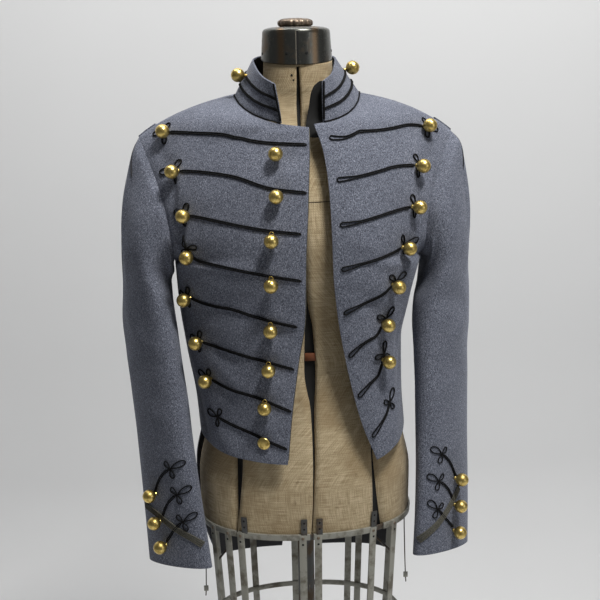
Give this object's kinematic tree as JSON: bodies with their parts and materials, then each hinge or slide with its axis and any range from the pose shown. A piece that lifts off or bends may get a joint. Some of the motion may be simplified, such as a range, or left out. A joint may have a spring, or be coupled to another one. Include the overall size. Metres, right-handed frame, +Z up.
{
  "type": "military coat on dress form",
  "caption": "Short military tail coat with standing collar, corded front and ball buttons, worn open on a limbless dress form with a cage and a round base.",
  "frame": {"origin": "centre of the base's underside, on the floor, under the form's pole", "axes": "+Z up, the wearer faces -Y, the wearer's right side is at -X"},
  "size_m": [0.5095, 0.34, 1.5],
  "materials": {
    "grey_wool": "heathered blue grey melton",
    "black_cord": "twisted cord",
    "gilt_brass": "polished, a little worn",
    "jersey": "aged beige jersey",
    "gunmetal": "dark worn metal",
    "painted_steel": "worn grey green steel"
  },
  "bodies": {
    "root": {"back_left": "grey_wool", "back_right": "grey_wool", "button_centre_1": "gilt_brass", "button_centre_2": "gilt_brass", "button_centre_3": "gilt_brass", "button_centre_4": "gilt_brass", "button_centre_5": "gilt_brass", "button_centre_6": "gilt_brass", "button_centre_7": "gilt_brass", "button_centre_8": "gilt_brass", "button_collar_left": "gilt_brass", "button_collar_right": "gilt_brass", "button_cuff_left_1": "gilt_brass", "button_cuff_left_2": "gilt_brass", "button_cuff_left_3": "gilt_brass", "button_cuff_right_1": "gilt_brass", "button_cuff_right_2": "gilt_brass", "button_cuff_right_3": "gilt_brass", "button_outer_left_1": "gilt_brass", "button_outer_left_2": "gilt_brass", "button_outer_left_3": "gilt_brass", "button_outer_left_4": "gilt_brass", "button_outer_left_5": "gilt_brass", "button_outer_left_6": "gilt_brass", "button_outer_left_7": "gilt_brass", "button_outer_right_1": "gilt_brass", "button_outer_right_2": "gilt_brass", "button_outer_right_3": "gilt_brass", "button_outer_right_4": "gilt_brass", "button_outer_right_5": "gilt_brass", "button_outer_right_6": "gilt_brass", "button_outer_right_7": "gilt_brass", "collar": "grey_wool", "cuff_trim_left": "black_cord", "cuff_trim_right": "black_cord", "form_neck": "gunmetal", "form_stand": "painted_steel", "form_torso": "jersey", "front_left": "grey_wool", "front_right": "grey_wool", "row_left_1": "black_cord", "row_left_2": "black_cord", "row_left_3": "black_cord", "row_left_4": "black_cord", "row_left_5": "black_cord", "row_left_6": "black_cord", "row_left_7": "black_cord", "row_left_8": "black_cord", "row_right_1": "black_cord", "row_right_2": "black_cord", "row_right_3": "black_cord", "row_right_4": "black_cord", "row_right_5": "black_cord", "row_right_6": "black_cord", "row_right_7": "black_cord", "row_right_8": "black_cord", "sleeve_left": "grey_wool", "sleeve_right": "grey_wool", "tail_left": "grey_wool", "tail_right": "grey_wool"}
  },
  "joints": []
}
